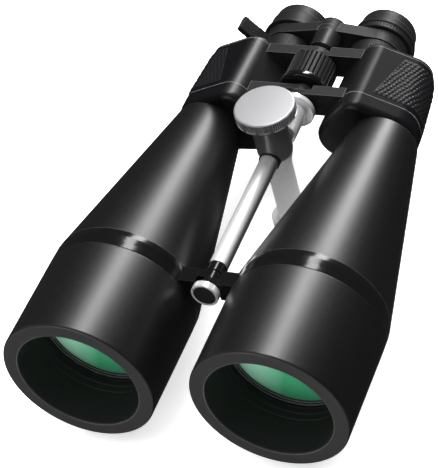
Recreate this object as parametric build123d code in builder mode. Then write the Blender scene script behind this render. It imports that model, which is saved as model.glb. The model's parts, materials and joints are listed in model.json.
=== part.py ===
from build123d import *
import math
import os

# Giant zoom binoculars with two large objectives, porro prisms and a tripod post.
# The origin is the mouth of the tripod socket under the post. +Y runs along the optical
# axes from the objectives to the eyepieces, +X is right as seen from the front, +Z is up.
# A "depth" is a distance in mm behind the front faces of the two hoods.

# Overall layout
post_depth = 200.5       # depth of the tripod post's axis
barrel_x = 62.9          # optical axis of an objective, from the mid plane
barrel_z = 50.0          # height of the optical axes above the table
eye_x = 32.2             # optical axis of an eyepiece, from the mid plane
hinge_z = barrel_z + 16  # height of the folding hinge, which is also the rod's axis
running = 0.05           # radial clearance of turning and sliding fits
gap = 0.3                # axial gap between pieces that turn against each other

# Objective end
hood_r = 50.0
hood_bore_r = 39.5
hood_depth = 70.8
hood_wall = 3.0
lip = 4.0
cell_depth = 34.2
band_depth = 84.1
band_r = 49.2
cone_depth = 231.5
cone_r = 23.2
cone_wall = 2.6
lens_r = 37.9

# Prism housing: its outline is the hull of four circles (x, z, radius)
cover_circles = ((45.0, 20.0, 12.0), (67.5, 5.0, 17.0), (62.9, 0.0, 22.0), (32.2, -2.0, 17.0))
front_circles = ((45.0, 20.0, 12.0), (67.5, 5.0, 17.0), (62.9, 0.0, 21.5), (32.2, -0.5, 15.8))
rear_circles = ((45.0, 19.6, 12.0), (66.0, 8.0, 14.5), (59.4, 0.0, 20.6), (32.2, -0.5, 15.8))
housing_depth = 245.0
shelf_depth = 266.0
rear_depth = 292.0
plate_depth = 295.0
housing_wall = 2.5
grip_thickness = 0.9
prism_length = 41.0
prism_width = 16.0

# Body hinge plates, in depth and height
front_plate_depth = 245.2
rear_plate_depth = 285.0
plate_thickness = 8.9
plate_top = hinge_z + 10.0
plate_bottom = hinge_z - 8.5
knuckle_r = 10.0
shaft_r = 6.0
shaft_bore_r = 4.1

# Eyepieces and their bridge
drawtube_r = 12.2
drawtube_bore_r = 10.9
barrel_tube_r = 17.45
drawtube_front = 282.0
tube_flange = 302.5      # where the drawtube widens to the eyepiece barrel
zoom_bore_r = 15.4       # bore that the zoom lens slides in
zoom_bore_front = 305.0
lens_seat_r = 12.6
lens_seat_front = 327.0
tube_rear = 338.0
boss_r = 15.4
boss_end = 298.0
zoom_ring_depth = 299.5
zoom_ring_end = 313.0
zoom_ring_r = 20.0
bridge_depth = 314.0
bridge_end = 323.0
hub_r = 10.0
spindle_r = 4.0
eyecup_depth = 323.6
eyecup_end = 345.6
eyecup_r = 19.75
eyecup_base_r = 22.8

# Rod and tripod clamp
rod_r = 6.25
rod_front = 92.0
rod_rear = 240.0
spigot_r = 3.5
ring_r = 9.0
arm_knuckle_r = 5.6
collar_r = 9.0
flange_r = 14.0
liner_r = 7.2
block_r = 12.0
post_r = 8.85
foot_r = 14.0
foot_height = 8.0
knob_r = 20.2
knob_bottom = barrel_z + 46.0
knob_top = barrel_z + 54.3
knob_skirt = 0.7
socket_r = 3.175         # 1/4-20 tripod thread
socket_length = 7.0

SIDES = (("left", -1), ("right", 1))

os.makedirs("parts", exist_ok=True)


def save(part, label):
    """Label a finished piece and write it as its own STEP file."""
    part.label = label
    export_step(part, "parts/" + label + ".step")


def section(depth):
    """Plane across the optical axes at a depth: local x is X, local y is Z."""
    return Plane.XZ.offset(post_depth - depth)


def lathe_plane(x, z):
    """Plane for turned profiles: local x is the radius, local y is the depth."""
    return Plane(origin=(x, -post_depth, z), x_dir=(1, 0, 0), z_dir=(0, 0, 1))


def lathe_axis(x, z):
    """Axis that a turned profile on lathe_plane(x, z) goes round."""
    return Axis((x, -post_depth, z), (0, 1, 0))


def turned(profile, x, z):
    """Solid of revolution about an axis along Y, from (radius, depth) points."""
    with BuildPart() as piece:
        with BuildSketch(lathe_plane(x, z)):
            with BuildLine():
                Polyline(*profile, close=True)
            make_face()
        revolve(axis=lathe_axis(x, z))
    return piece.part


def ring(r_in, r_out, start, end, x, z):
    """Plain ring or tube along Y between two depths."""
    return turned(((r_in, start), (r_out, start), (r_out, end), (r_in, end)), x, z)


def cap_arc(r, edge, vertex):
    """Arc of a spherical face, from its rim at (r, edge) to its vertex on the axis."""
    rise = vertex - edge
    radius = (r * r + rise * rise) / (2 * abs(rise))
    half_angle = math.asin(r / radius) / 2
    centre = vertex - math.copysign(radius, rise)
    middle = (radius * math.sin(half_angle), centre + math.copysign(radius * math.cos(half_angle), rise))
    return ThreePointArc((r, edge), middle, (0, vertex))


def disc(r, start, end, x, z):
    """Plain round bar along Y between two depths."""
    return turned(((0, start), (r, start), (r, end), (0, end)), x, z)


def outline(circles, side, grow=0.0):
    """Hull of circles, as a sketch in the (x, height) plane, grown or shrunk."""
    with BuildSketch() as shape:
        for x, z, r in circles:
            with Locations((side * x, barrel_z + z)):
                Circle(r + grow)
        make_hull()
    return shape.sketch


def housing_body(side, grow=0.0):
    """Tapering body of the prism housing, from its front seam to its rear face."""
    with BuildPart() as body:
        with BuildSketch(section(housing_depth)):
            add(outline(front_circles, side, grow))
        with BuildSketch(section(rear_depth)):
            add(outline(rear_circles, side, grow))
        loft()
    return body.part


# ---- objective end ------------------------------------------------------------------

def make_hood(x):
    """Lens hood: an outer wall and an inner sleeve joined by the front lip."""
    with BuildPart() as hood:
        with BuildSketch(lathe_plane(x, barrel_z)):
            with BuildLine():
                Polyline(
                    (hood_bore_r, 0.8), (hood_bore_r + 0.8, 0), (hood_r - 1.2, 0), (hood_r, 1.2),
                    (hood_r, hood_depth), (hood_r - hood_wall, hood_depth), (hood_r - hood_wall, lip),
                    (hood_bore_r + 2.5, lip), (hood_bore_r + 2.5, cell_depth - 0.2),
                    (hood_bore_r, cell_depth - 0.2), close=True,
                )
            make_face()
        revolve(axis=lathe_axis(x, barrel_z))
    return hood.part


def make_band(side):
    """Band between hood and cone, with its arm and hinge knuckle for the front hub."""
    x = side * barrel_x
    arm_top = barrel_z + 22
    arm_bottom = barrel_z + 8
    arm_start = hood_depth + 1.6
    arm_inner = 7.5
    arm_outer = 24.0
    spigot_in = 43.8
    start = hood_depth + 1.5 if side > 0 else hood_depth + 7.5
    knuckle_length = 5.7
    with BuildPart() as band:
        with BuildSketch(lathe_plane(x, barrel_z)):
            with BuildLine():
                Polyline(
                    (spigot_in, 62), (46.9, 62), (46.9, hood_depth), (hood_r, hood_depth),
                    (hood_r, hood_depth + 0.8), (49.75, 80), (band_r, band_depth), (46.4, band_depth),
                    (45.3, 90), (spigot_in, 90), close=True,
                )
            make_face()
        revolve(axis=lathe_axis(x, barrel_z))
        with BuildSketch(section(arm_start)):
            with BuildLine():
                Polyline(
                    (side * arm_inner, arm_bottom), (side * arm_outer, arm_bottom),
                    (side * arm_outer, arm_top), (side * arm_inner, arm_top), close=True,
                )
            make_face()
        extrude(amount=-(band_depth - arm_start - 0.3))
        with BuildSketch(section(start)):
            with Locations((0, hinge_z)):
                Circle(arm_knuckle_r)
            with Locations((side * arm_inner / 2, hinge_z)):
                Rectangle(arm_inner, 2 * arm_knuckle_r - 0.4)
        extrude(amount=-knuckle_length)
        with BuildSketch(section(60)):
            with Locations((x, barrel_z)):
                Circle(spigot_in)
        extrude(amount=-32, mode=Mode.SUBTRACT)
        with BuildSketch(section(60)):
            with Locations((0, hinge_z)):
                Circle(spigot_r + running)
        extrude(amount=-32, mode=Mode.SUBTRACT)
    return band.part


def make_cone(x):
    """Long tapered objective tube."""
    slope = (band_r - cone_r) / (cone_depth - band_depth)
    collar_end = cone_depth + 4
    with BuildPart() as cone:
        with BuildSketch(lathe_plane(x, barrel_z)):
            with BuildLine():
                Polyline(
                    (band_r - cone_wall, band_depth), (band_r, band_depth), (cone_r, cone_depth),
                    (19.0, cone_depth), (19.0, collar_end), (17.2, collar_end),
                    (17.2, cone_depth - 3), (cone_r + 3 * slope - cone_wall, cone_depth - 3), close=True,
                )
            make_face()
        revolve(axis=lathe_axis(x, barrel_z))
    return cone.part


def make_lens_cell(x):
    """Ring behind the hood's sleeve that carries the objective lens."""
    profile = (
        (38.0, cell_depth), (46.8, cell_depth), (46.8, 58), (44.5, 58), (44.5, 53),
        (36.2, 53), (36.2, 50.2), (38.0, 50.2),
    )
    return turned(profile, x, barrel_z)


def make_retaining_ring(x):
    """Threaded ring that holds the objective lens in its cell, with two stepped baffles."""
    profile = (
        (36.4, 39.1), (36.4, 37.8), (37.1, 37.8), (37.1, 36.3), (37.95, 36.3), (37.95, 38.9),
    )
    return turned(profile, x, barrel_z)


def make_doublet(x):
    """Objective lens: a biconvex crown element and a meniscus flint behind it."""
    elements = (((39.6, 35.6), (42.2, 45.0)), ((42.3, 45.1), (49.9, 48.2)))
    with BuildPart() as doublet:
        for (front_rim, front_vertex), (rear_rim, rear_vertex) in elements:
            with BuildSketch(lathe_plane(x, barrel_z)):
                with BuildLine():
                    cap_arc(lens_r, front_rim, front_vertex)
                    Line((lens_r, front_rim), (lens_r, rear_rim))
                    cap_arc(lens_r, rear_rim, rear_vertex)
                    Line((0, front_vertex), (0, rear_vertex))
                make_face()
            revolve(axis=lathe_axis(x, barrel_z))
    return doublet.part


# ---- prism housing ------------------------------------------------------------------

def make_front_cover(side):
    """Rounded cover over the front prism, with the seat of the objective tube."""
    with BuildPart() as cover:
        with BuildSketch(section(cone_depth)):
            add(outline(cover_circles, side))
        extrude(amount=-(housing_depth - cone_depth - 0.1))
        fillet(cover.faces().sort_by(Axis.Y)[0].edges(), radius=5)
        with BuildSketch(section(cone_depth + 3.5)):
            add(outline(cover_circles, side, -housing_wall - 1))
        extrude(amount=-(housing_depth - cone_depth), mode=Mode.SUBTRACT)
        with BuildSketch(section(cone_depth - 1)):
            with Locations((side * barrel_x, barrel_z)):
                Circle(19.05)
        extrude(amount=-8, mode=Mode.SUBTRACT)
    return cover.part


def make_housing(side):
    """Cast housing round the prisms, open in front and behind."""
    with BuildPart() as housing:
        add(housing_body(side))
        add(housing_body(side, -housing_wall), mode=Mode.SUBTRACT)
    return housing.part


def make_rear_cover(side):
    """Rear cover with the boss that guides the eyepiece's drawtube."""
    with BuildPart() as cover:
        with BuildSketch(section(rear_depth + 0.1)):
            add(outline(rear_circles, side))
        extrude(amount=-(plate_depth - rear_depth - 0.1))
        fillet(cover.faces().sort_by(Axis.Y)[-1].edges(), radius=2)
        with BuildSketch(section(plate_depth - 0.5)):
            with Locations((side * eye_x, barrel_z)):
                Circle(boss_r)
        extrude(amount=-(boss_end - plate_depth + 0.5))
        with BuildSketch(section(285)):
            with Locations((side * eye_x, barrel_z)):
                Circle(drawtube_r + running)
        extrude(amount=-20, mode=Mode.SUBTRACT)
    return cover.part


def prism_block(start, direction, centre_x, side, lean):
    """Right-angled prism: long face at depth start, ridge half a length behind or before it."""
    along = Vector(side * lean, 0, 1).normalized()
    plane = Plane(
        origin=(side * centre_x, start - post_depth, barrel_z + 7.7),
        x_dir=along,
        z_dir=Vector(0, 1, 0).cross(along) * -1,
    )
    half = prism_length / 2
    sign = direction * plane.y_dir.Y
    with BuildPart() as prism:
        with BuildSketch(plane):
            with BuildLine():
                Polyline(
                    (-half, 0), (half, 0), (half, 2 * sign), (2, half * sign), (-2, half * sign),
                    (-half, 2 * sign), close=True,
                )
            make_face()
        extrude(amount=prism_width / 2, both=True)
    return prism.part


def make_shelf(side):
    """Plate across the housing that carries both prisms and has holes for the light."""
    with BuildPart() as shelf:
        with BuildSketch(section(shelf_depth)):
            add(outline(rear_circles, side, -housing_wall - 0.2))
            for x, z in ((barrel_x - 2, 0), (47.5, 15.3), (eye_x, 0)):
                with Locations((side * x, barrel_z + z)):
                    Circle(8.0, mode=Mode.SUBTRACT)
        extrude(amount=-2.4)
    return shelf.part


def make_grip(side):
    """Thin moulded covering round the outer side of the housing."""
    with BuildPart() as grip:
        add(housing_body(side, grip_thickness))
        add(housing_body(side, 0.02), mode=Mode.SUBTRACT)
        with BuildSketch(section(249)):
            with Locations((side * 75, barrel_z)):
                Rectangle(40, 80)
        extrude(amount=-39, mode=Mode.INTERSECT)
    return grip.part


def make_hinge_plate(side, depth):
    """Half of a body hinge: a flat bar on the housing with one knuckle on the shaft."""
    half = plate_thickness / 2
    knuckle_start = depth if side > 0 else depth + half + gap / 2
    inner = knuckle_r + 0.6
    outer = 37.5
    with BuildPart() as plate:
        with BuildSketch(section(depth)):
            with BuildLine():
                Polyline(
                    (side * inner, plate_bottom), (side * 25, plate_bottom),
                    (side * outer, plate_top - 4), (side * outer, plate_top),
                    (side * inner, plate_top), close=True,
                )
            make_face()
        extrude(amount=-plate_thickness)
        with BuildSketch(section(knuckle_start)):
            with Locations((0, hinge_z)):
                Circle(knuckle_r)
            with Locations((side * inner / 2, (plate_bottom + plate_top) / 2)):
                Rectangle(inner, plate_top - plate_bottom)
            with Locations((0, hinge_z)):
                Circle(shaft_r + running, mode=Mode.SUBTRACT)
        extrude(amount=-(half - gap / 2))
        add(housing_body(side, 0.05), mode=Mode.SUBTRACT)
        with BuildSketch(section(rear_depth)):
            add(outline(rear_circles, side, 0.05))
        extrude(amount=-(plate_depth - rear_depth), mode=Mode.SUBTRACT)
    return plate.part


# ---- eyepieces ----------------------------------------------------------------------

def make_eyepiece_tube(x):
    """Drawtube and barrel of an eyepiece, with the seat of the eye lens."""
    profile = (
        (drawtube_bore_r, drawtube_front), (drawtube_r, drawtube_front), (drawtube_r, tube_flange),
        (barrel_tube_r, tube_flange), (barrel_tube_r, tube_rear), (lens_seat_r, tube_rear),
        (lens_seat_r, lens_seat_front), (zoom_bore_r, lens_seat_front),
        (zoom_bore_r, zoom_bore_front), (drawtube_bore_r, zoom_bore_front),
    )
    return turned(profile, x, barrel_z)


def make_bridge_arm(side):
    """Arm from the focusing spindle to an eyepiece, with a half-thickness knuckle."""
    middle = (bridge_depth + bridge_end) / 2
    other_start = middle - gap / 2 if side > 0 else bridge_depth - 1
    with BuildPart() as arm:
        with BuildSketch(section(bridge_depth)):
            with Locations((0, hinge_z)):
                Circle(hub_r)
            with Locations((side * eye_x, barrel_z)):
                Circle(zoom_ring_r)
            with BuildLine():
                Polyline(
                    (side * 1.2, hinge_z + 8.3), (side * 35.0, barrel_z + 19.7),
                    (side * 16.0, barrel_z - 5), (side * 4.2, hinge_z - 7.2), close=True,
                )
            make_face()
            with Locations((side * eye_x, barrel_z)):
                Circle(barrel_tube_r + 0.02, mode=Mode.SUBTRACT)
            with Locations((0, hinge_z)):
                Circle(spindle_r + running, mode=Mode.SUBTRACT)
        extrude(amount=-(bridge_end - bridge_depth))
        with BuildSketch(section(other_start)):
            with Locations((0, hinge_z)):
                Circle(hub_r + 0.4)
        extrude(amount=-(middle + gap / 2 - bridge_depth + 1), mode=Mode.SUBTRACT)
    return arm.part


def make_zoom_ring(x):
    """Turning ring that drives the zoom lens."""
    profile = (
        (barrel_tube_r + running, zoom_ring_depth), (zoom_ring_r - 0.6, zoom_ring_depth),
        (zoom_ring_r, zoom_ring_depth + 0.6), (zoom_ring_r, zoom_ring_end - 0.6),
        (zoom_ring_r - 0.6, zoom_ring_end), (barrel_tube_r + running, zoom_ring_end),
    )
    return turned(profile, x, barrel_z)


def make_eyecup(x, start):
    """Rubber eyecup with a flared foot and a funnel towards the eye lens."""
    with BuildPart() as eyecup:
        with BuildSketch(lathe_plane(x, barrel_z)):
            with BuildLine():
                Polyline(
                    (barrel_tube_r + running, start), (eyecup_base_r, start), (eyecup_base_r, start + 2),
                    (eyecup_r + 1.2, 336), (eyecup_r + 0.2, eyecup_end - 1.4),
                    (eyecup_r - 0.6, eyecup_end), (17.4, eyecup_end), (16.8, eyecup_end - 0.8),
                    (14.6, 339.6), (14.6, tube_rear + gap), (barrel_tube_r + running, tube_rear + gap),
                    close=True,
                )
            make_face()
        revolve(axis=lathe_axis(x, barrel_z))
    return eyecup.part


def make_eye_lens(x):
    """Eye lens in the rear of the eyepiece barrel."""
    with BuildPart() as lens:
        with BuildSketch(lathe_plane(x, barrel_z)):
            with BuildLine():
                cap_arc(12.5, 331.2, 328.8)
                Line((12.5, 331.2), (12.5, 334.8))
                cap_arc(12.5, 334.8, 337.2)
                Line((0, 328.8), (0, 337.2))
            make_face()
        revolve(axis=lathe_axis(x, barrel_z))
    return lens.part


def make_zoom_lens(x):
    """Moving zoom group: a thin carrier ring with its lens."""
    start = zoom_bore_front + 4
    carrier_r = zoom_bore_r - running
    profile = (
        (0, start + 1), (9, start + 2), (12.6, start + 2), (12.6, start), (carrier_r, start),
        (carrier_r, start + 8), (12.6, start + 8), (12.6, start + 6), (9, start + 6), (0, start + 7),
    )
    return turned(profile, x, barrel_z)


for name, side in SIDES:
    x_objective = side * barrel_x
    x_eye = side * eye_x
    cup_start = eyecup_depth if side < 0 else eyecup_depth + 5.7
    save(make_hood(x_objective), name + "_hood")
    save(make_band(side), name + "_band_arm")
    save(make_cone(x_objective), name + "_cone_tube")
    save(make_lens_cell(x_objective), name + "_lens_cell")
    save(make_retaining_ring(x_objective), name + "_retaining_ring")
    save(make_doublet(x_objective), name + "_objective_doublet")
    save(make_front_cover(side), name + "_front_cover")
    save(make_housing(side), name + "_prism_housing")
    save(make_rear_cover(side), name + "_rear_cover")
    save(prism_block(shelf_depth - 0.1, -1, 39.85, side, 1), name + "_front_prism")
    save(prism_block(shelf_depth + 2.5, 1, 54.4, side, -1), name + "_rear_prism")
    save(make_shelf(side), name + "_prism_shelf")
    save(make_grip(side), name + "_grip_cover")
    save(make_hinge_plate(side, front_plate_depth), name + "_front_hinge_plate")
    save(make_hinge_plate(side, rear_plate_depth), name + "_rear_hinge_plate")
    save(make_eyepiece_tube(x_eye), name + "_eyepiece_tube")
    save(make_bridge_arm(side), name + "_bridge_arm")
    save(make_zoom_ring(x_eye), name + "_zoom_ring")
    save(make_eyecup(x_eye, cup_start), name + "_eyecup")
    save(make_eye_lens(x_eye), name + "_eye_lens")
    save(make_zoom_lens(x_eye), name + "_zoom_lens_cell")

# Zoom lever: a tab that stands out of the left zoom ring, up and to the outside
lever_angle = 130
lever_tip = 42.4
lever_thickness = 5.0
lever_plane = Plane(
    origin=(-eye_x, zoom_ring_depth + 0.5 - post_depth, barrel_z),
    x_dir=(math.cos(math.radians(lever_angle)), 0, math.sin(math.radians(lever_angle))),
    z_dir=(0, -1, 0),
)
with BuildPart() as zoom_lever:
    with BuildSketch(lever_plane):
        with Locations(((zoom_ring_r + lever_tip) / 2 - 0.4, 0)):
            Rectangle(lever_tip - zoom_ring_r + 0.8, lever_thickness)
        Circle(zoom_ring_r + 0.03, mode=Mode.SUBTRACT)
    extrude(amount=-12.4)
save(zoom_lever.part, "zoom_lever")

# Dioptre ring, between the right eyecup and the bridge
with BuildPart() as diopter_ring:
    add(ring(barrel_tube_r + running, eyecup_base_r - 0.2, eyecup_depth, eyecup_depth + 5.4, eye_x, barrel_z))
    chamfer(diopter_ring.edges().filter_by(GeomType.CIRCLE).sort_by(SortBy.RADIUS)[-2:], length=0.6)
save(diopter_ring.part, "diopter_ring")

# ---- folding hinge ------------------------------------------------------------------

with BuildPart() as centre_rod:
    add(disc(spigot_r, 68.5, rod_front, 0, hinge_z))
    add(disc(rod_r, rod_front, rod_rear, 0, hinge_z))
    add(disc(4.05, rod_rear, 256, 0, hinge_z))
save(centre_rod.part, "centre_rod")

with BuildPart() as front_ring:
    with BuildSketch(lathe_plane(0, hinge_z)):
        with BuildLine():
            Polyline(
                (spigot_r + 0.02, 69), (7.4, 69), (7.4, 67.2), (8.5, 67), (ring_r, 67.5),
                (ring_r, 71.6), (8.6, 72), (spigot_r + 0.02, 72), close=True,
            )
        make_face()
    revolve(axis=lathe_axis(0, hinge_z))
save(front_ring.part, "front_hub_ring")

with BuildPart() as front_cap:
    add(disc(7.35, 67.4, 68.4, 0, hinge_z))
save(front_cap.part, "front_hub_cap")

with BuildPart() as front_bush:
    add(ring(spigot_r + 0.02, 5.25, band_depth + 0.2, rod_front - 0.05, 0, hinge_z))
save(front_bush.part, "front_hub_bush")

with BuildPart() as rear_collar:
    with BuildSketch(lathe_plane(0, hinge_z)):
        with BuildLine():
            Polyline(
                (rod_r + 0.02, 215), (collar_r - 0.5, 215), (collar_r, 215.5), (collar_r, 238),
                (flange_r - 0.6, 238), (flange_r, 238.6), (flange_r, 241.6), (flange_r - 0.6, 242.2),
                (rod_r + 0.02, 242.2), close=True,
            )
        make_face()
    revolve(axis=lathe_axis(0, hinge_z))
save(rear_collar.part, "rear_rod_collar")

# Hollow shaft of the body hinge, slotted for the spindle's key
with BuildPart() as hinge_shaft:
    add(ring(shaft_bore_r, shaft_r, 242.4, 297, 0, hinge_z))
    with BuildSketch(Plane((0, 270 - post_depth, hinge_z))):
        Rectangle(2.6, 13)
    extrude(amount=8, both=True, mode=Mode.SUBTRACT)
save(hinge_shaft.part, "hinge_shaft")

# ---- focusing -----------------------------------------------------------------------

wheel_front = 256.5
wheel_rear = 283.5
wheel_r = 14.0
grip_r = 16.4
wheel_ring_r = 17.6
with BuildPart() as focus_wheel:
    with BuildSketch(lathe_plane(0, hinge_z)):
        with BuildLine():
            Polyline(
                (shaft_r + running, wheel_front), (12.5, wheel_front), (wheel_ring_r, wheel_front + 2.4),
                (wheel_ring_r, wheel_front + 4.2), (wheel_r, wheel_front + 4.2), (wheel_r, wheel_rear),
                (shaft_r + running, wheel_rear), (shaft_r + running, 279), (7.8, 279), (7.8, 261),
                (shaft_r + running, 261), close=True,
            )
        make_face()
    revolve(axis=lathe_axis(0, hinge_z))
save(focus_wheel.part, "focus_wheel")

with BuildPart() as focus_grip:
    with BuildSketch(section(wheel_front + 4.4)):
        with Locations((0, hinge_z)):
            Circle(grip_r)
            Circle(wheel_r + 0.02, mode=Mode.SUBTRACT)
            with PolarLocations(grip_r, 36):
                Circle(0.7, mode=Mode.SUBTRACT)
    extrude(amount=-(wheel_rear - wheel_front - 4.8))
save(focus_grip.part, "focus_wheel_grip")

with BuildPart() as focus_spindle:
    with BuildSketch(lathe_plane(0, hinge_z)):
        with BuildLine():
            Polyline(
                (0, 262), (spindle_r, 262), (spindle_r, 303), (6.4, 303), (6.4, 298.4), (hub_r, 298.4),
                (hub_r, bridge_depth - gap), (spindle_r, bridge_depth - gap), (spindle_r, 325),
                (0, 325), close=True,
            )
        make_face()
    revolve(axis=lathe_axis(0, hinge_z))
    with BuildSketch(Plane.XY.offset(hinge_z - 7)):
        with Locations((0, 270 - post_depth)):
            Circle(1.1)
    extrude(amount=14)
save(focus_spindle.part, "focus_spindle")

with BuildPart() as bridge_cap:
    with BuildSketch(lathe_plane(0, hinge_z)):
        with BuildLine():
            Line((0, 325.2), (4.2, 325.2))
            Line((4.2, 325.2), (4.2, bridge_end + gap))
            Line((4.2, bridge_end + gap), (hub_r, bridge_end + gap))
            Line((hub_r, bridge_end + gap), (hub_r, 325.5))
            cap_arc(hub_r, 325.5, 330.3)
            Line((0, 330.3), (0, 325.2))
        make_face()
    revolve(axis=lathe_axis(0, hinge_z))
save(bridge_cap.part, "bridge_cap_nut")

# ---- tripod clamp -------------------------------------------------------------------

with BuildPart() as clamp_liner:
    add(ring(rod_r + running, liner_r, post_depth - 12.6, post_depth + 12.6, 0, hinge_z))
save(clamp_liner.part, "clamp_liner")

block_top = barrel_z + 45.0
block_bottom = barrel_z + 8.0
stud_r = 5.0
with BuildPart() as clamp_block:
    with BuildSketch(Plane.XZ):
        with BuildLine():
            Polyline(
                (0, foot_height), (post_r, foot_height), (post_r, block_bottom - 3),
                (block_r - 0.9, block_bottom + 5), (block_r, block_bottom + 9), (block_r, block_top - 1),
                (block_r - 1, block_top), (0, block_top), close=True,
            )
        make_face()
    revolve(axis=Axis.Z)
    with BuildSketch(section(post_depth - 20)):
        with Locations((0, hinge_z)):
            Circle(liner_r + running)
    extrude(amount=-40, mode=Mode.SUBTRACT)
    with BuildSketch(Plane.XY.offset(hinge_z)):
        Circle(stud_r + running)
    extrude(amount=block_top - hinge_z, mode=Mode.SUBTRACT)
save(clamp_block.part, "clamp_block_post")

with BuildPart() as clamp_foot:
    Cylinder(foot_r, foot_height - 0.05, align=(Align.CENTER, Align.CENTER, Align.MIN))
    chamfer(clamp_foot.edges(), length=0.8)
    with BuildSketch(Plane.XY):
        Circle(socket_r)
    extrude(amount=socket_length, mode=Mode.SUBTRACT)
save(clamp_foot.part, "clamp_foot")

pad_bottom = hinge_z + liner_r + 0.3
pad_top = pad_bottom + 2.5
with BuildPart() as clamp_pad:
    with BuildSketch(Plane.XY.offset(pad_bottom)):
        Circle(stud_r - 0.1)
    extrude(amount=pad_top - pad_bottom)
save(clamp_pad.part, "clamp_pad")

with BuildPart() as clamp_stud:
    with BuildSketch(Plane.XY.offset(pad_top + 0.1)):
        Circle(stud_r)
    extrude(amount=knob_bottom - pad_top - 0.15)
save(clamp_stud.part, "clamp_stud")

with BuildPart() as clamp_knob:
    with BuildSketch(Plane.XZ):
        with BuildLine():
            Polyline(
                (0, knob_bottom), (9.0, knob_bottom), (9.0, knob_bottom - knob_skirt),
                (12.5, knob_bottom - knob_skirt), (12.5, knob_bottom), (knob_r - 0.9, knob_bottom),
                (knob_r, knob_bottom + 0.9), (knob_r, knob_top - 1.4), (knob_r - 0.9, knob_top),
                (0, knob_top), close=True,
            )
        make_face()
    revolve(axis=Axis.Z)
save(clamp_knob.part, "clamp_knob")
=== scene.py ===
import json
import math

import bmesh
import bpy
from mathutils import Matrix, Vector
from mathutils.noise import noise_vector, seed_set


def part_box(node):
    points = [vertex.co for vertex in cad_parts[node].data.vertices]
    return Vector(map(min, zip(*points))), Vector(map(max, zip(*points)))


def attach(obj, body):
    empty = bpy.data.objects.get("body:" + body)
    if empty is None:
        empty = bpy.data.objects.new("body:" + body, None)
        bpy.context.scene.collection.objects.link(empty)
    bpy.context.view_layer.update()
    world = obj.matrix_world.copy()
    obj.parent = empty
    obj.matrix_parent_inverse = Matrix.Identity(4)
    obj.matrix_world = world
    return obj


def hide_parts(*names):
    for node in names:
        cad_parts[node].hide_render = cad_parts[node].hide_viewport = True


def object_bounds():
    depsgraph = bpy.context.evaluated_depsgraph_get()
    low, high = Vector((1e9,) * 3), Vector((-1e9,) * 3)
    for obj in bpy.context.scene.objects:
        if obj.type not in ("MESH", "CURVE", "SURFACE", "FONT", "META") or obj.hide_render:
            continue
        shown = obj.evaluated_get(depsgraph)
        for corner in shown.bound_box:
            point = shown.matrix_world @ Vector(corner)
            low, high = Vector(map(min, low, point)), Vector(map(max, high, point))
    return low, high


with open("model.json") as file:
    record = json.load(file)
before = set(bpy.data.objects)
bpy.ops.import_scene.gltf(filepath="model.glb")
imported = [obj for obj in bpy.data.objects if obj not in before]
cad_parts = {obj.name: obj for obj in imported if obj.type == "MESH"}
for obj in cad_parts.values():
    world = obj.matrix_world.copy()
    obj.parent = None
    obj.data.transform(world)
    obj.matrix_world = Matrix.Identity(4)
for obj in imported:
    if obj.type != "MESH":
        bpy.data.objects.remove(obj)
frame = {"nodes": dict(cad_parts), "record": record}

cad_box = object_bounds()
MM = 0.001
TAU = 2 * math.pi

# Without this, the noise that moves the pebbles starts from the clock and differs in each run
seed_set(1)

# Places that the CAD model fixes, in millimetres. A depth is a distance behind the hoods' fronts.
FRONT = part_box("left_hood")[0].y / MM
OBJECTIVE = (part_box("right_hood")[0].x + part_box("right_hood")[1].x) / 2 / MM
BARREL_Z = (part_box("right_hood")[0].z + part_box("right_hood")[1].z) / 2 / MM
EYE = (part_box("right_zoom_ring")[0].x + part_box("right_zoom_ring")[1].x) / 2 / MM
HINGE_Z = (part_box("centre_rod")[0].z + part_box("centre_rod")[1].z) / 2 / MM
SIDES = (("left", -1), ("right", 1))


# ---- node materials -----------------------------------------------------------------

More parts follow.
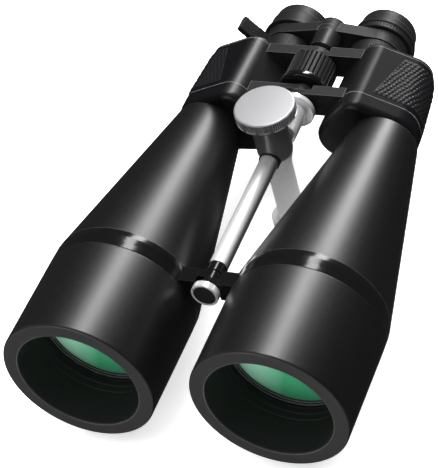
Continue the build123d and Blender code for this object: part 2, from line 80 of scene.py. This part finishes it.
class Shader:
    """A Principled material with short calls for the nodes that feed it."""

    def __init__(self, name, **values):
        self.material = bpy.data.materials.new(name)
        self.material.use_nodes = True
        self.tree = self.material.node_tree
        self.shader = self.tree.nodes["Principled BSDF"]
        for key, value in values.items():
            socket = self.shader.inputs[key.replace("_", " ")]
            socket.default_value = (*value, 1) if isinstance(value, tuple) else value
        self.place = self.node("ShaderNodeTexCoord").outputs["Object"]
        self.height = None

    def node(self, kind, **values):
        n = self.tree.nodes.new(kind)
        for key, value in values.items():
            if hasattr(n, key):
                setattr(n, key, value)
            else:
                n.inputs[key.replace("_", " ")].default_value = value
        return n

    def link(self, a, b):
        self.tree.links.new(a, b)

    def stretched(self, scale):
        n = self.node("ShaderNodeMapping")
        n.inputs["Scale"].default_value = scale
        self.link(self.place, n.inputs["Vector"])
        return n.outputs["Vector"]

    def noise(self, scale, detail=4.0, stretch=None):
        n = self.node("ShaderNodeTexNoise", Scale=scale, Detail=detail)
        self.link(self.stretched(stretch) if stretch else self.place, n.inputs["Vector"])
        return n.outputs["Fac"]

    def spread(self, value, low, high, start=0.3, end=0.7):
        """Value that goes from low to high as the given one goes from start to end."""
        n = self.node("ShaderNodeMapRange")
        for key, v in (("From Min", start), ("From Max", end), ("To Min", low), ("To Max", high)):
            n.inputs[key].default_value = v
        self.link(value, n.inputs["Value"])
        return n.outputs["Result"]

    def roughness(self, value, low, high):
        self.link(self.spread(value, low, high), self.shader.inputs["Roughness"])

    def bump(self, value, depth_mm, strength=1.0):
        n = self.node("ShaderNodeBump", Strength=strength, Distance=depth_mm * MM)
        self.link(value, n.inputs["Height"])
        if self.height:
            self.link(self.height, n.inputs["Normal"])
        self.height = n.outputs["Normal"]
        self.link(self.height, self.shader.inputs["Normal"])

    def mixed(self, factor, a, b):
        """Mix of two colours, each either a plain colour or the output of a node.

        A mix node also has sockets for numbers and vectors, so its colour sockets go by index.
        """
        n = self.node("ShaderNodeMix", data_type="RGBA")
        self.link(factor, n.inputs["Factor"])
        for place, value in ((6, a), (7, b)):
            if isinstance(value, tuple):
                n.inputs[place].default_value = (*value, 1)
            else:
                self.link(value, n.inputs[place])
        return n.outputs[2]

    def edges(self, radius_mm, amount):
        """Mask of the edges, where a rounded normal leaves the true one."""
        bevel = self.node("ShaderNodeBevel", samples=4, Radius=radius_mm * MM)
        true = self.node("ShaderNodeNewGeometry").outputs["Normal"]
        return self.spread(self.product(bevel.outputs["Normal"], true), amount, 0.0, 0.82, 0.99)

    def product(self, a, b):
        dot = self.node("ShaderNodeVectorMath", operation="DOT_PRODUCT")
        self.link(a, dot.inputs[0])
        if isinstance(b, tuple):
            dot.inputs[1].default_value = b
        else:
            self.link(b, dot.inputs[1])
        return dot.outputs["Value"]

    def colour(self, value):
        self.link(value, self.shader.inputs["Base Color"])


def painted(
    name, colour, rough, grain_mm, grain_scale, wear_and_glint, wear_and_glint_grey=0.05, edge=0.6, coat=0.0, gloss=0.5, face=None,
):
    """Black paint with a fine grain, a slightly uneven sheen, and edges lighter from wearing and from painted
    glints.

    A face colour is painted light on the turned surfaces that look forward.
    """
    m = Shader(name, Coat_Weight=coat, Coat_Roughness=0.06, Specular_IOR_Level=gloss)
    tint = m.mixed(m.spread(m.noise(320, 4), 0.0, 1.0), colour, tuple(1.35 * c for c in colour))
    # Painted light: surfaces that look forward get the lighter face colour
    if face:
        forward = m.product(m.node("ShaderNodeNewGeometry").outputs["Normal"], (0.0, -1.0, 0.0))
        tint = m.mixed(m.spread(forward, 0.0, 1.0, 0.6, 0.95), tint, face)
    # Lighter edges: partly wearing, partly painted glints
    m.colour(m.mixed(m.edges(edge, wear_and_glint), tint, (wear_and_glint_grey, wear_and_glint_grey, 1.02 * wear_and_glint_grey)))
    m.roughness(m.noise(420, 3), rough - 0.02, rough + 0.02)
    m.bump(m.noise(grain_scale, 3), grain_mm)
    return m.material


def housing_paint():
    """Satin paint on the inner columns of the housings, turning matt over their outer sides."""
    m = Shader("housing_black", Roughness=0.40)
    tint = m.mixed(m.spread(m.noise(320, 4), 0.0, 1.0), (0.0025, 0.0025, 0.003), (0.004, 0.004, 0.0045))
    # Lighter edges and seams: partly wearing, partly painted glints along the seams
    m.colour(m.mixed(m.edges(0.6, 0.8), tint, (0.22, 0.22, 0.225)))
    m.bump(m.noise(1300, 3), 0.003)
    parts = m.node("ShaderNodeSeparateXYZ")
    m.link(m.place, parts.inputs[0])
    outward = m.node("ShaderNodeMath", operation="ABSOLUTE")
    m.link(parts.outputs["X"], outward.inputs[0])
    m.link(m.spread(outward.outputs[0], 0.34, 0.03, 0.044, 0.050), m.shader.inputs["Specular IOR Level"])
    return m.material


def metal(name, colour, rough, stretch, grain_mm, shine=1.0):
    """Bare metal with fine lines left by the tool; less shine makes it satin."""
    m = Shader(name, Metallic=shine)
    tint = m.mixed(m.spread(m.noise(1.0, 2, stretch), 0.0, 1.0), tuple(0.97 * c for c in colour), colour)
    m.colour(m.mixed(m.edges(0.4, 0.6), tint, tuple(min(1, 1.25 * c) for c in colour)))
    lines = m.noise(1.0, 3, stretch)
    m.roughness(lines, rough - 0.025, rough + 0.025)
    m.bump(lines, grain_mm)
    return m.material


def rod_metal():
    """Polished rod with fine lines along it, with painted shade darkening the side that faces the right
    barrel.
    """
    m = Shader("rod_steel", Metallic=0.78)
    lines = m.noise(1.0, 3, (1500, 25, 1500))
    flank = m.product(m.node("ShaderNodeNewGeometry").outputs["Normal"], (1.0, 0.0, 0.0))
    tint = m.mixed(m.spread(lines, 0.0, 1.0), (0.87, 0.87, 0.88), (0.90, 0.90, 0.91))
    # Painted shade on the side that faces +X, towards the right barrel
    tint = m.mixed(m.spread(flank, 0.0, 1.0, 0.72, 0.98), tint, (0.20, 0.20, 0.205))
    m.colour(m.mixed(m.edges(0.4, 0.6), tint, (1.0, 1.0, 1.0)))
    m.roughness(lines, 0.395, 0.405)
    m.bump(lines, 0.0001)
    return m.material


def knob_metal():
    """Satin turned face, with painted shade darkening the knurled side and painted glints on the knurl's
    ridges.
    """
    m = Shader("knob_aluminium")
    lines = m.noise(1.0, 3, (1500, 1500, 300))
    up = m.product(m.node("ShaderNodeNewGeometry").outputs["Normal"], (0.0, 0.0, 1.0))
    # Painted shade: the knob is darker where its surface turns from up to sideways
    tint = m.mixed(m.spread(up, 0.0, 1.0, 0.2, 0.8), (0.11, 0.11, 0.115), (0.50, 0.50, 0.51))
    m.link(m.spread(up, 0.5, 0.85, 0.2, 0.8), m.shader.inputs["Metallic"])
    # Painted glints: the edges and knurl ridges are nearly white
    m.colour(m.mixed(m.edges(0.35, 1.0), tint, (0.95, 0.95, 0.96)))
    m.roughness(lines, 0.34, 0.39)
    m.bump(lines, 0.001)
    return m.material


def clamp_metal():
    """Dark reflecting block above, brushed silver post below the shoulder."""
    m = Shader("clamp_steel")
    m.bump(m.noise(1.0, 3, (900, 900, 60)), 0.002)
    parts = m.node("ShaderNodeSeparateXYZ")
    m.link(m.place, parts.inputs[0])
    block = m.spread(parts.outputs["Z"], 0.0, 1.0, 0.0630, 0.0645)
    m.link(m.spread(block, 0.55, 0.8, 0.0, 1.0), m.shader.inputs["Metallic"])
    tint = m.mixed(block, (0.85, 0.85, 0.86), (0.26, 0.26, 0.265))
    m.colour(m.mixed(m.edges(0.5, 0.5), tint, (0.8, 0.8, 0.8)))
    m.link(m.spread(block, 0.42, 0.3, 0.0, 1.0), m.shader.inputs["Roughness"])
    return m.material


def soft(name, colour, rough, cell, depth_mm):
    """Rubber or plastic with a fine surface grain."""
    m = Shader(name, Specular_IOR_Level=0.13)
    tint = m.mixed(m.spread(m.noise(420, 4), 0.0, 1.0), colour, tuple(1.5 * c for c in colour))
    m.colour(m.mixed(m.edges(0.5, 0.3), tint, (0.035, 0.035, 0.036)))
    m.roughness(m.noise(500, 3), rough - 0.03, rough + 0.03)
    m.bump(m.noise(cell, 3), depth_mm)
    return m.material


def coating(name, colour, metallic, rough, pale=None):
    """Coated glass, with a painted reflection that makes it paler where its curved face leans up and to one
    side.
    """
    m = Shader(name, Metallic=metallic, Coat_Weight=1.0, Coat_Roughness=0.02, IOR=1.52)
    tint = m.mixed(m.spread(m.noise(300, 2), 0.0, 1.0), tuple(0.92 * c for c in colour), colour)
    # Painted reflection: paler where the face leans up and towards -X
    if pale:
        lean = m.product(m.node("ShaderNodeNewGeometry").outputs["Normal"], (-0.95, 0.0, 0.3))
        tint = m.mixed(m.spread(lean, 0.0, 1.0, 0.0, 0.13), tint, pale)
    m.colour(tint)
    m.roughness(m.noise(500, 3), rough, rough + 0.03)
    return m.material


INK = (0.002, 0.002, 0.0023)
# Lighter edges in these looks are partly wearing, partly painted glints; the satin black's face colour is
# painted light on the hoods' forward rims
LOOKS = {
    "satin_black": painted(
        "satin_black", INK, 0.39, 0.003, 1400, wear_and_glint=0.9, wear_and_glint_grey=0.2, edge=0.9, face=(0.022, 0.022, 0.023),
    ),
    "cone_black": painted("cone_black", INK, 0.38, 0.003, 1400, wear_and_glint=0.6, wear_and_glint_grey=0.1, gloss=0.37),
    "gloss_black": painted("gloss_black", (0.003, 0.003, 0.0033), 0.15, 0.001, 900, wear_and_glint=0.2, gloss=0.22),
    "matte_black": painted("matte_black", (0.005, 0.005, 0.005), 0.75, 0.006, 1600, wear_and_glint=0.4),
    # The retaining rings' light edges are a painted glint, the pale line at the lens rim
    "rim_black": painted("rim_black", (0.004, 0.004, 0.004), 0.5, 0.004, 1600, wear_and_glint=0.9, wear_and_glint_grey=0.35),
    "housing_black": housing_paint(),
    # The hinge plates' light edges include a painted glint along their front edges
    "plate_black": painted(
        "plate_black", (0.006, 0.006, 0.0065), 0.48, 0.008, 1000, wear_and_glint=0.8, wear_and_glint_grey=0.16, edge=0.4, gloss=0.18,
    ),
    "ring_black": painted("ring_black", (0.004, 0.004, 0.0045), 0.44, 0.006, 1200, wear_and_glint=0.4, gloss=0.15),
    "wheel_black": painted("wheel_black", (0.003, 0.003, 0.0035), 0.14, 0.002, 900, coat=0.5, wear_and_glint=0.3),
    "spindle_black": painted("spindle_black", (0.006, 0.006, 0.0065), 0.36, 0.004, 900, wear_and_glint=0.5, gloss=0.2),
    "nylon_black": soft("nylon_black", (0.008, 0.008, 0.008), 0.50, 1500, 0.008),
    "pebbled_leather": soft("pebbled_leather", (0.004, 0.004, 0.0045), 0.40, 1700, 0.010),
    "rubber_black": soft("rubber_black", (0.006, 0.006, 0.0065), 0.44, 1300, 0.008),
    "chrome": metal("chrome", (0.90, 0.90, 0.91), 0.16, (900, 900, 900), 0.001, 0.7),
    "rod_steel": rod_metal(),
    "clamp_steel": clamp_metal(),
    "knob_aluminium": knob_metal(),
    "brass": metal("brass", (0.78, 0.60, 0.28), 0.28, (900, 900, 1200), 0.002),
    "coated_glass": coating("coated_glass", (0.07, 0.46, 0.22), 0.1, 0.05, (0.50, 1.0, 0.72)),
    "eye_glass": coating("eye_glass", (0.05, 0.06, 0.12), 0.45, 0.03),
    "prism_glass": coating("prism_glass", (0.20, 0.24, 0.24), 0.30, 0.03),
}
# Nodes whose finish differs from the rest of their slot
OTHER_LOOKS = {
    "left_retaining_ring": "rim_black", "right_retaining_ring": "rim_black",
    "left_cone_tube": "cone_black", "right_cone_tube": "cone_black", "bridge_cap_nut": "ring_black",
}

for part in frame["record"]["subparts"]:
    node = frame["nodes"][part["node"]]
    node.data.materials.clear()
    node.data.materials.append(LOOKS[OTHER_LOOKS.get(part["node"], part["material_slot"])])


# ---- mesh pieces --------------------------------------------------------------------

# Sizes in millimetres: radii, depths behind the hoods' fronts, and heights of the clamp's knob
HOOD_R, HOOD_END, LIP_R, LIP_DEPTH = 50.0, 70.8, 40.3, 4.0
BORE_R, BORE_END = 39.5, 34.0
ZOOM_RING_R, ZOOM_RING_START, ZOOM_RING_END = 20.0, 299.5, 313.0
DIOPTER_R, DIOPTER_START, DIOPTER_END = 22.6, 323.6, 329.0
EYECUP_START = {"left": 323.6, "right": 329.3}
EYECUP_END = 345.6
WHEEL_START, WHEEL_END = 256.6, 283.4
WHEEL_GRIP_R, WHEEL_GRIP_START, WHEEL_GRIP_END = 16.4, 260.9, 283.1
WHEEL_GROOVES, GROOVE_START, GROOVE_END, GROOVE_FOOT, GROOVE_DEPTH = 30, 261.2, 283.0, 15.5, 1.5
KNOB_R, KNOB_LOW, KNOB_TOP = 20.2, 96.0, 104.3
KNURL_LOW, KNURL_HIGH, KNURL_FOOT, KNURL_DEPTH = 96.9, 103.3, 19.9, 0.9
LEVER_FOOT, LEVER_TIP, LEVER_HALF = 19.2, 42.4, 2.5

# The knob's grooves stand in clusters, whose lines fill this share of a cell; the lever's angle is in degrees
KNURL_CLUSTERS, KNURL_LINES, KNURL_SHARE = 13, 5, 0.74
LEVER_ANGLE, LEVER_TEETH = 130, 8


def point(x, depth, z):
    return Vector((x, depth + FRONT, z)) * MM


def finish_mesh(name, mesh, body, look, stands_for, sharp):
    bm = bmesh.new()
    bm.from_mesh(mesh)
    bmesh.ops.remove_doubles(bm, verts=bm.verts, dist=1e-7)
    bmesh.ops.recalc_face_normals(bm, faces=bm.faces)
    bm.to_mesh(mesh)
    bm.free()
    for face in mesh.polygons:
        face.use_smooth = True
    mesh.set_sharp_from_angle(angle=math.radians(sharp))
    piece = bpy.data.objects.new(name, mesh)
    bpy.context.scene.collection.objects.link(piece)
    mesh.materials.append(LOOKS[look])
    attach(piece, body)
    if stands_for:
        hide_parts(*stands_for)


def rounded(corners):
    """Closed profile from (radius, position, fillet) corners, with an arc at each fillet."""
    out = []
    count = len(corners)
    for i, (r, y, fillet) in enumerate(corners):
        here = Vector((r, y))
        a = Vector(corners[i - 1][:2]) - here
        b = Vector(corners[(i + 1) % count][:2]) - here
        if fillet <= 0 or a.length < 1e-6 or b.length < 1e-6:
            out.append((r, y))
            continue
        cut = min(fillet, a.length * 0.45, b.length * 0.45)
        start, end = here + a.normalized() * cut, here + b.normalized() * cut
        for k in range(6):
            t = k / 5
            p = start * (1 - t) ** 2 + here * 2 * t * (1 - t) + end * t * t
            out.append((p.x, p.y))
    return out


def lathe(name, corners, x, z, body, look, stands_for=(), steps=144, relief=None, upright=False, sharp=38):
    """Turned piece about an axis along Y, or along Z when upright."""
    profile = rounded(corners)
    verts, faces = [], []
    for k in range(steps):
        angle = TAU * k / steps
        for r, along in profile:
            rr = relief(angle, along, r) if relief else r
            a, b = rr * math.cos(angle), rr * math.sin(angle)
            verts.append(Vector((x + a, b, along)) * MM if upright else point(x + a, along, z + b))
    n = len(profile)
    for k in range(steps):
        for i in range(n):
            j, m = (i + 1) % n, (k + 1) % steps
            if profile[i][0] < 1e-6 and profile[j][0] < 1e-6:
                continue
            faces.append((k * n + i, k * n + j, m * n + j, m * n + i))
    mesh = bpy.data.meshes.new(name)
    mesh.from_pydata(verts, [], faces)
    finish_mesh(name, mesh, body, look, stands_for, sharp)


def ribs(rim, count, depth, start, end):
    """Relief of rounded ribs round a rim, fading out at both ends and only near the rim."""
    def cut(angle, along, r):
        if r < rim - 0.35 or along < start or along > end:
            return r
        fade = min(1.0, (along - start) * 2, (end - along) * 2)
        wave = 0.5 - 0.5 * math.cos(count * angle)
        return r - depth * fade * wave ** 0.7
    return cut


def rows(low, high, step):
    """Positions from low to high about a step apart, so that a relief has points to move."""
    n = max(1, round((high - low) / step))
    return [low + (high - low) * i / n for i in range(n + 1)]


for name, side in SIDES:
    x = side * OBJECTIVE
    barrel = name + "_barrel"
    lathe(name + "_hood_shell", [
        (LIP_R, 0.0, 0.35), (49.0, 0.0, 0.45), (HOOD_R, 1.0, 0.5), (HOOD_R, 70.1, 0.5), (49.6, HOOD_END, 0.3),
        (47.0, HOOD_END, 0.2), (47.0, LIP_DEPTH, 0.4), (LIP_R, LIP_DEPTH, 0.1),
    ], x, BARREL_Z, barrel, "satin_black", (name + "_hood",), steps=192)
    lathe(name + "_hood_bore", [
        (BORE_R, 0.9, 0.2), (40.25, 0.1, 0.1), (40.25, LIP_DEPTH, 0.1), (42.0, LIP_DEPTH, 0.3),
        (42.0, BORE_END, 0.2), (38.5, BORE_END, 0.1), (38.5, 30.5, 0.1), (39.0, 30.0, 0.1),
        (39.0, 26.0, 0.1), (BORE_R, 25.5, 0.1),
    ], x, BARREL_Z, barrel, "matte_black", (name + "_hood",), steps=192)

    lathe(name + "_band_turned", [
        (48.0, 71.1, 0.1), (49.9, 71.1, 0.2), (49.84, 79.9, 0.2), (49.28, 83.9, 0.2), (48.0, 83.9, 0.1),
    ], x, BARREL_Z, barrel, "gloss_black", steps=288)

    xe = side * EYE
    lathe(name + "_zoom_ring_knurled", [
        (17.55, ZOOM_RING_START, 0.1), (19.5, ZOOM_RING_START, 0.4), (ZOOM_RING_R, 300.3, 0.3),
        *[(ZOOM_RING_R, d, 0) for d in rows(300.8, 311.8, 0.5)],
        (ZOOM_RING_R, 312.3, 0.3), (19.5, ZOOM_RING_END, 0.4), (17.55, ZOOM_RING_END, 0.1),
    ], xe, BARREL_Z, name + "_zoom_ring", "ring_black", (name + "_zoom_ring",),
        steps=480, relief=ribs(ZOOM_RING_R, 80, 0.16, 301.0, 311.6))

    base = EYECUP_START[name]
    lathe(name + "_eyecup_rubber", [
        (17.5, base, 0.1), (22.8, base, 0.7), (22.8, base + 2.0, 0.8), (21.5, base + 3.0, 0.6),
        (21.5, 336.2, 0.9), (20.6, 337.2, 0.8), (20.2, 343.6, 1.2), (19.2, EYECUP_END, 1.1),
        (17.4, EYECUP_END, 0.8), (16.4, 344.4, 0.7), (14.7, 339.6, 0.5), (14.6, 338.3, 0.1), (17.5, 338.3, 0),
    ], xe, BARREL_Z, name + "_eyepiece", "rubber_black", (name + "_eyecup",), steps=128)

lathe("diopter_ring_ribbed", [
    (17.55, DIOPTER_START, 0.1), (22.0, DIOPTER_START, 0.4), (DIOPTER_R, 324.3, 0.3),
    *[(DIOPTER_R, d, 0) for d in rows(324.6, 328.0, 0.4)],
    (DIOPTER_R, 328.4, 0.3), (22.0, DIOPTER_END, 0.4), (17.55, DIOPTER_END, 0.1),
], EYE, BARREL_Z, "diopter_ring", "ring_black", ("diopter_ring",), steps=400,
    relief=ribs(DIOPTER_R, 66, 0.18, 324.6, 328.1))


lathe("focus_wheel_turned", [
    (7.6, WHEEL_START, 0.1), (16.2, WHEEL_START, 0.3), (17.6, 258.0, 0.6), (17.6, 260.3, 0.2),
    (17.1, 260.8, 0.2), (13.95, 260.8, 0.1), (13.95, WHEEL_END, 0.1), (7.6, WHEEL_END, 0.1),
], 0, HINGE_Z, "focus_wheel", "wheel_black", ("focus_wheel",))


def wheel_ribs(angle, along, r):
    """Long rounded ribs of the focus wheel's rubber grip."""
    if r < GROOVE_FOOT:
        return r
    fade = min(1.0, max(0.0, (along - GROOVE_START) / 0.8), max(0.0, (GROOVE_END - along) / 0.8))
    groove = max(0.0, math.cos(WHEEL_GROOVES * angle)) ** 3
    return r - GROOVE_DEPTH * fade * groove


lathe("focus_wheel_ribs", [
    (14.02, WHEEL_GRIP_START, 0.1), (16.0, WHEEL_GRIP_START, 0.3), (WHEEL_GRIP_R, 261.5, 0.2),
    *[(WHEEL_GRIP_R, d, 0) for d in rows(262.0, 282.2, 0.6)],
    (WHEEL_GRIP_R, 282.6, 0.2), (16.0, WHEEL_GRIP_END, 0.3), (14.02, WHEEL_GRIP_END, 0.1),
], 0, HINGE_Z, "focus_wheel", "rubber_black", ("focus_wheel_grip",), steps=480, relief=wheel_ribs)

lathe("front_hub_sleeve", [
    (3.55, 84.4, 0.1), (5.9, 84.4, 0.3), (6.25, 84.8, 0.3),
    (6.25, 91.4, 0.3), (5.9, 91.85, 0.3), (3.55, 91.85, 0.1),
], 0, HINGE_Z, "centre", "gloss_black", ("front_hub_bush",))


def knob_lines(angle, along, r):
    """Clusters of fine upright grooves round the knob, with plain spans between."""
    if r < KNURL_FOOT or along < KNURL_LOW or along > KNURL_HIGH:
        return r
    cell = (angle / TAU * KNURL_CLUSTERS) % 1.0
    if cell > KNURL_SHARE:
        return r
    fade = min(1.0, (along - KNURL_LOW) / 0.4, (KNURL_HIGH - along) / 0.4)
    wave = abs(math.sin(math.pi * KNURL_LINES * cell / KNURL_SHARE))
    return r - KNURL_DEPTH * fade * min(1.0, 1.6 * wave)


lathe("clamp_knob_knurled", [
    (0, KNOB_LOW, 0), (9.0, KNOB_LOW, 0), (9.0, 95.3, 0.1), (12.5, 95.3, 0.3), (12.5, KNOB_LOW, 0.1),
    (19.7, KNOB_LOW, 0.2), (KNOB_R, 96.6, 0.2), *[(KNOB_R, h, 0) for h in rows(KNURL_LOW, KNURL_HIGH, 0.4)],
    (KNOB_R, 103.5, 0.2), (19.4, KNOB_TOP, 0.3), (0, KNOB_TOP, 0),
], 0, 0, "clamp_knob", "knob_aluminium", ("clamp_knob",), steps=1440, relief=knob_lines, upright=True)


def serrated_lever():
    """Tab of the zoom ring, with teeth across its upper face."""
    low, tip, half = LEVER_FOOT, LEVER_TIP, LEVER_HALF
    profile = [(low, -half), (tip - 0.9, -half), (tip, -half + 0.9), (tip, half - 0.9), (tip - 0.9, half)]
    for k in range(LEVER_TEETH):
        at = tip - 1.4 - 1.5 * k
        profile += [(at, half), (at - 0.3, half - 0.7), (at - 0.8, half - 0.7), (at - 1.1, half)]
    profile.append((low, half))
    angle = math.radians(LEVER_ANGLE)
    c, s = math.cos(angle), math.sin(angle)
    verts = []
    for depth, shrink in ((300.0, 0.5), (300.5, 0.0), (311.9, 0.0), (312.4, 0.5)):
        for r, t in profile:
            r -= shrink if r > 41 else 0
            t *= 1 - shrink / half
            verts.append(point(-EYE + r * c + t * s, depth, BARREL_Z + r * s - t * c))
    n = len(profile)
    faces = [tuple(range(n)), tuple(range(4 * n - 1, 3 * n - 1, -1))]
    for k in range(3):
        for i in range(n):
            j = (i + 1) % n
            faces.append((k * n + j, k * n + i, (k + 1) * n + i, (k + 1) * n + j))
    mesh = bpy.data.meshes.new("zoom_lever_serrated")
    mesh.from_pydata(verts, [], faces)
    finish_mesh("zoom_lever_serrated", mesh, "left_zoom_ring", "ring_black", ("zoom_lever",), 30)


serrated_lever()

# The housing's outline is the hull of four circles (x, height above the axis, radius) at each end
FRONT_CIRCLES = ((45.0, 20.0, 12.0), (67.5, 5.0, 17.0), (62.9, 0.0, 21.5), (32.2, -0.5, 15.8))
REAR_CIRCLES = ((45.0, 19.6, 12.0), (66.0, 8.0, 14.5), (59.4, 0.0, 20.6), (32.2, -0.5, 15.8))
HOUSING_FRONT, HOUSING_REAR = 245.0, 292.0
GRIP_FRONT, GRIP_REAR, GRIP_INNER = 249.0, 288.0, 55.0
GRIP_COLUMNS, GRIP_ROWS = 280, 96

# Behind its start, the grip's upper edge slopes outward by this much for each millimetre
SLOPE_START, SLOPE = 250.0, 0.25

# Heights above the housing of the grip's underside and skin, and of the pebbles above the skin
UNDERSIDE, SKIN, PEBBLE_HEIGHT = 0.1, 0.30, 0.58

# Spacing of the pebbles, share of it between rows, how far they wander, and squared radius as a share
PEBBLE, ROW_SHARE, WANDER, PEBBLE_SPREAD = 3.4, 0.8, 0.8, 0.17


def housing_line(depth):
    """Outline over the outer side at a depth: (x, height, normal angle) from top to bottom."""
    t = (depth - HOUSING_FRONT) / (HOUSING_REAR - HOUSING_FRONT)
    circles = [[a + (b - a) * t for a, b in zip(*pair)] for pair in zip(FRONT_CIRCLES, REAR_CIRCLES)]
    line = []
    for k in range(0, 391):
        angle = math.radians(k / 2)
        s, c = math.sin(angle), math.cos(angle)
        x, z, r = max(circles, key=lambda o: o[0] * s + o[1] * c + o[2])
        line.append((x + r * s, z + r * c, angle))
    return line


def trimmed(line, top_x, bottom_x):
    """The part of an outline from top_x on its upper side to bottom_x on its lower side."""
    out = []
    for a, b in zip(line, line[1:]):
        upper = a[2] < math.pi / 2
        edge = top_x if upper else bottom_x
        inside = b[0] >= edge, a[0] >= edge
        if inside[0] != inside[1]:
            t = (edge - a[0]) / (b[0] - a[0])
            out.append(tuple(p + (q - p) * t for p, q in zip(a, b)))
        if inside[0]:
            out.append(b)
    return out


def evenly(line, count):
    """Points spaced evenly along a line, each with its distance from the line's end."""
    steps = [math.dist(a[:2], b[:2]) for a, b in zip(line, line[1:])]
    total = sum(steps)
    out, i, done = [], 0, 0.0
    for k in range(count + 1):
        want = total * k / count
        while i < len(steps) - 1 and done + steps[i] < want:
            done += steps[i]
            i += 1
        t = min(1.0, (want - done) / steps[i]) if steps[i] else 0.0
        x, z, angle = (p + (q - p) * t for p, q in zip(line[i], line[i + 1]))
        out.append((x, z, angle, total - want))
    return out


def pebble(run, depth, side):
    """Height from 0 to 1 in a field of round pebbles, staggered row by row and slightly uneven."""
    warp = noise_vector(Vector((run, depth, 7.0 * side)) / 9.0) * WANDER
    u, v = (run + warp.x) / PEBBLE, (depth + warp.y) / (PEBBLE * ROW_SHARE)
    nearest = 1.0
    for row in (math.floor(v), math.floor(v) + 1):
        across = u - 0.5 * (row % 2)
        nearest = min(nearest, (across - round(across)) ** 2 + (ROW_SHARE * (v - row)) ** 2)
    return max(0.0, 1.0 - nearest / PEBBLE_SPREAD)


def pebbled_grip(side_name, side):
    """Thin covering with raised pebbles, as a closed shell over the housing's outer side."""
    across, along = GRIP_COLUMNS, GRIP_ROWS
    outer, inner = [], []
    for j in range(along + 1):
        depth = GRIP_FRONT + (GRIP_REAR - GRIP_FRONT) * j / along
        top_edge = GRIP_INNER + max(0.0, depth - SLOPE_START) * SLOPE
        line = trimmed(housing_line(depth), top_edge, GRIP_INNER)
        for i, (x, z, angle, run) in enumerate(evenly(line, across)):
            fade = min(1.0, i / 3, (across - i) / 3, j / 3, (along - j) / 3)
            height = SKIN + PEBBLE_HEIGHT * fade * pebble(run, depth, side)
            for store, h in ((outer, height), (inner, UNDERSIDE)):
                across_x = side * (x + h * math.sin(angle))
                store.append(point(across_x, depth, BARREL_Z + z + h * math.cos(angle)))
    width = across + 1
    count = len(outer)
    faces = []
    for j in range(along):
        for i in range(across):
            a = j * width + i
            quad = (a, a + 1, a + width + 1, a + width)
            faces += [quad, tuple(count + v for v in reversed(quad))]
    rim = [*range(across), *range(across, count - 1, width), *range(count - 1, count - width, -1),
           *range(count - width, 0, -width)]
    for a, b in zip(rim, rim[1:] + rim[:1]):
        faces.append((a, b, count + b, count + a))
    name = side_name + "_grip_pebbled"
    mesh = bpy.data.meshes.new(name)
    mesh.from_pydata(outer + inner, [], faces)
    finish_mesh(name, mesh, side_name + "_barrel", "pebbled_leather", (side_name + "_grip_cover",), 50)


for name, side in SIDES:
    pebbled_grip(name, side)


# ---- stage, light and camera --------------------------------------------------------

# The hoods reach 12.7 mm below their resting height when the barrels are folded right down
FLOOR_DROP = 13.5


def pale_stage():
    """Plain pale floor, low enough that no pose reaches it."""
    m = Shader("pale_floor", Emission_Color=(1.0, 1.0, 1.0), Emission_Strength=0.6)
    m.colour(m.mixed(m.spread(m.noise(3, 2), 0.0, 1.0), (0.86, 0.86, 0.87), (0.90, 0.90, 0.90)))
    m.roughness(m.noise(8, 3), 0.75, 0.85)
    mesh = bpy.data.meshes.new("floor")
    half = 6.0
    corners = [(-half, -half, 0), (half, -half, 0), (half, half, 0), (-half, half, 0)]
    mesh.from_pydata(corners, [], [(0, 1, 2, 3)])
    mesh.materials.append(m.material)
    floor = bpy.data.objects.new("floor", mesh)
    floor.location.z = cad_box[0].z - FLOOR_DROP * MM
    bpy.context.scene.collection.objects.link(floor)
    floor.visible_glossy = False


def area_light(name, place, aim, size, power, seen_in_gloss=True):
    data = bpy.data.lights.new(name, "AREA")
    data.shape = "RECTANGLE"
    data.size, data.size_y = size
    data.energy = power
    light = bpy.data.objects.new(name, data)
    light.location = place
    light.rotation_euler = (Vector(aim) - Vector(place)).to_track_quat("-Z", "Y").to_euler()
    light.visible_glossy = seen_in_gloss
    bpy.context.scene.collection.objects.link(light)


pale_stage()
world = bpy.data.worlds.new("studio")
bpy.context.scene.world = world
world.use_nodes = True
world.node_tree.nodes["Background"].inputs["Color"].default_value = (1, 1, 1, 1)
world.node_tree.nodes["Background"].inputs["Strength"].default_value = 0.04
area_light("overhead_strip", (0.13, 1.15, 1.35), (0.0, 0.05, 0.05), (0.38, 3.0), 82)
area_light("floor_wash", (0.0, 0.0, 2.2), (0.0, 0.0, 0.0), (4.0, 4.0), 150, seen_in_gloss=False)
area_light("front_fill", (-0.55, -1.9, 0.55), (0, -0.15, 0.05), (0.9, 0.7), 9)
area_light("side_fill", (-2.2, 0.2, 1.0), (0, 0, 0.05), (0.3, 1.6), 2.5)
bpy.context.scene.view_settings.view_transform = "Standard"

AZIMUTH, ELEVATION, ROLL = math.radians(32.15), math.radians(42.61), math.radians(-16.69)
TARGET, DISTANCE = Vector((-0.0251, -0.0567, 0.0399)), 1.2541
forward = Vector((
    -math.sin(AZIMUTH) * math.cos(ELEVATION), math.cos(AZIMUTH) * math.cos(ELEVATION), -math.sin(ELEVATION),
))
level = Vector((math.cos(AZIMUTH), math.sin(AZIMUTH), 0))
upright = level.cross(forward)
right = level * math.cos(ROLL) + upright * math.sin(ROLL)
up = upright * math.cos(ROLL) - level * math.sin(ROLL)
camera_data = bpy.data.cameras.new("camera")
camera_data.lens = 147.9
camera_data.sensor_width = 36
camera = bpy.data.objects.new("camera", camera_data)
turn = Matrix((right, up, -forward)).transposed().to_4x4()
camera.matrix_world = Matrix.Translation(TARGET - forward * DISTANCE) @ turn
bpy.context.scene.collection.objects.link(camera)
bpy.context.scene.camera = camera
